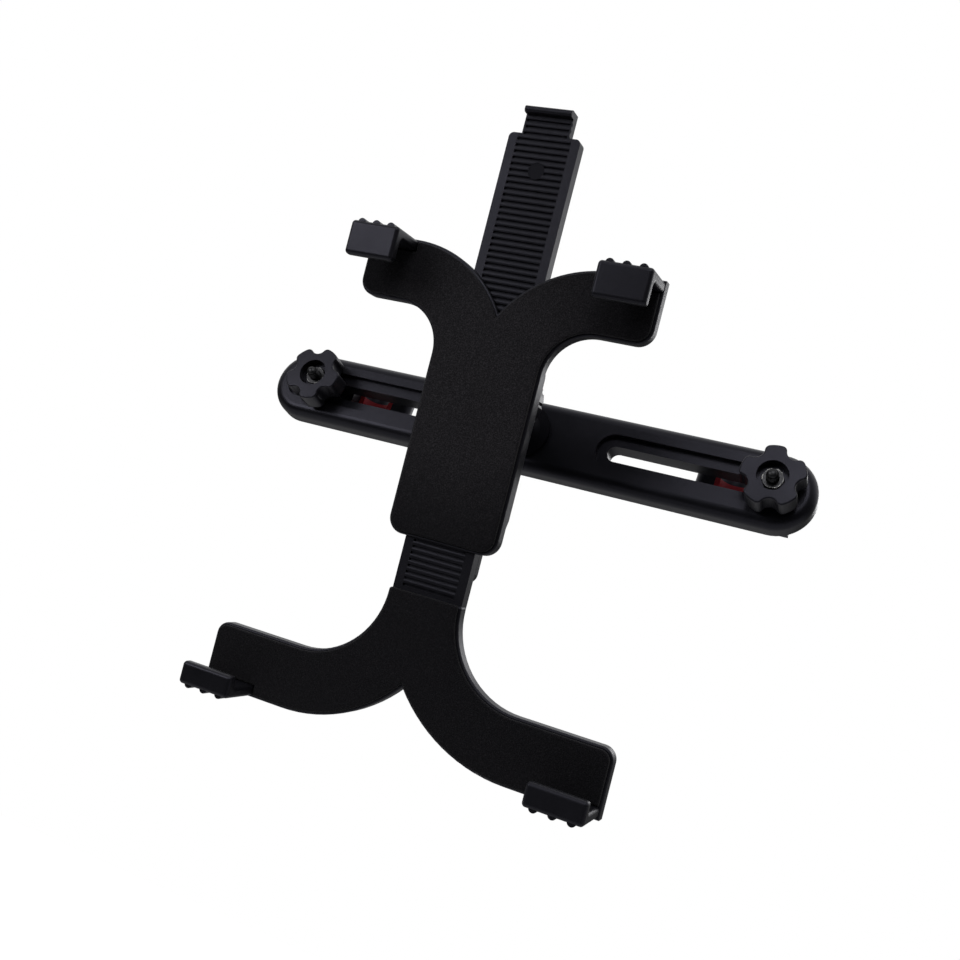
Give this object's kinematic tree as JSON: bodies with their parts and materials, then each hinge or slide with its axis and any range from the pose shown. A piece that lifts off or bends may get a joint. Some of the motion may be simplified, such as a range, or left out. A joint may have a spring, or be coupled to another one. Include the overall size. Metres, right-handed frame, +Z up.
{
  "type": "headrest tablet mount",
  "caption": "Car headrest tablet mount: slotted bar clamped to headrest posts, ball joint, and an extending padded holder with claws for a tablet",
  "frame": {"origin": "midway between the headrest post axes of a centred bar, at mid-height of the bar", "axes": "X along the bar to the passenger's right, Y back towards the headrest, Z up along the posts"},
  "size_m": [0.25, 0.1225, 0.2458],
  "materials": {
    "bar_plastic": "satin black ABS",
    "holder_plastic": "fine-grained black ABS",
    "knob_plastic": "smooth black nylon",
    "foam": "grainy black EVA foam",
    "cap_rubber": "smooth black rubber",
    "grip_rubber": "red rubber",
    "steel": "dark zinc-plated steel"
  },
  "bodies": {
    "bar": {"headrest_bar": "bar_plastic"},
    "stud": {"ball_stud": "bar_plastic", "stud_screw": "steel"},
    "ring": {"ring_nut": "knob_plastic"},
    "holder": {"upper_bracket": "holder_plastic", "upper_pad": "foam", "rear_cover": "holder_plastic", "cover_screws": "steel", "slide_spring": "steel", "upper_left_claw_cap": "cap_rubber", "upper_right_claw_cap": "cap_rubber"},
    "lower": {"lower_bracket": "holder_plastic", "lower_pad": "foam", "lower_left_claw_cap": "cap_rubber", "lower_right_claw_cap": "cap_rubber"},
    "left_carriage": {"left_washer": "bar_plastic"},
    "left_knob": {"left_star_knob": "knob_plastic", "left_hex_nut": "steel"},
    "left_jaw": {"left_clamp_jaw": "bar_plastic", "left_grip_pad": "grip_rubber", "left_jaw_bolt": "steel"},
    "right_carriage": {"right_washer": "bar_plastic"},
    "right_knob": {"right_star_knob": "knob_plastic", "right_hex_nut": "steel"},
    "right_jaw": {"right_clamp_jaw": "bar_plastic", "right_grip_pad": "grip_rubber", "right_jaw_bolt": "steel"}
  },
  "joints": [
    {"name": "ball_turn", "type": "hinge", "parent": "bar", "child": "stud", "pos_m": [0, -0.0486, 0], "axis": [0, -1, 0], "continuous": true},
    {"name": "ball_tilt", "type": "hinge", "parent": "stud", "child": "ring", "pos_m": [0, -0.0486, 0], "axis": [1, 0, 0], "range_deg": [-40, 4]},
    {"name": "holder_swivel", "type": "hinge", "parent": "ring", "child": "holder", "pos_m": [0, -0.0486, 0], "axis": [0, -0.9511, -0.309], "continuous": true},
    {"name": "bracket_slide", "type": "slide", "parent": "holder", "child": "lower", "axis": [0, 0.309, -0.9511], "range_m": [-0.0175, 0.066]},
    {"name": "left_clamp_slide", "type": "slide", "parent": "bar", "child": "left_carriage", "axis": [-1, 0, 0], "range_m": [-0.054, 0.0085]},
    {"name": "left_knob_turn", "type": "hinge", "parent": "left_carriage", "child": "left_knob", "pos_m": [-0.0995, -0.0176, 0], "axis": [0, 1, 0], "range_deg": [-2160, 360]},
    {"name": "left_jaw_close", "type": "slide", "parent": "left_carriage", "child": "left_jaw", "axis": [0, 1, 0], "range_m": [-0.0008, 0.0048]},
    {"name": "right_clamp_slide", "type": "slide", "parent": "bar", "child": "right_carriage", "axis": [1, 0, 0], "range_m": [-0.0625, 0.0003]},
    {"name": "right_knob_turn", "type": "hinge", "parent": "right_carriage", "child": "right_knob", "pos_m": [0.1079, -0.0176, 0], "axis": [0, 1, 0], "range_deg": [-2160, 360]},
    {"name": "right_jaw_close", "type": "slide", "parent": "right_carriage", "child": "right_jaw", "axis": [0, 1, 0], "range_m": [-0.0008, 0.0048]}
  ],
  "couplings": [
    {"joint": "left_knob_turn", "follows": "left_jaw_close", "rad_per_m": -7854},
    {"joint": "right_knob_turn", "follows": "right_jaw_close", "rad_per_m": -7854}
  ]
}
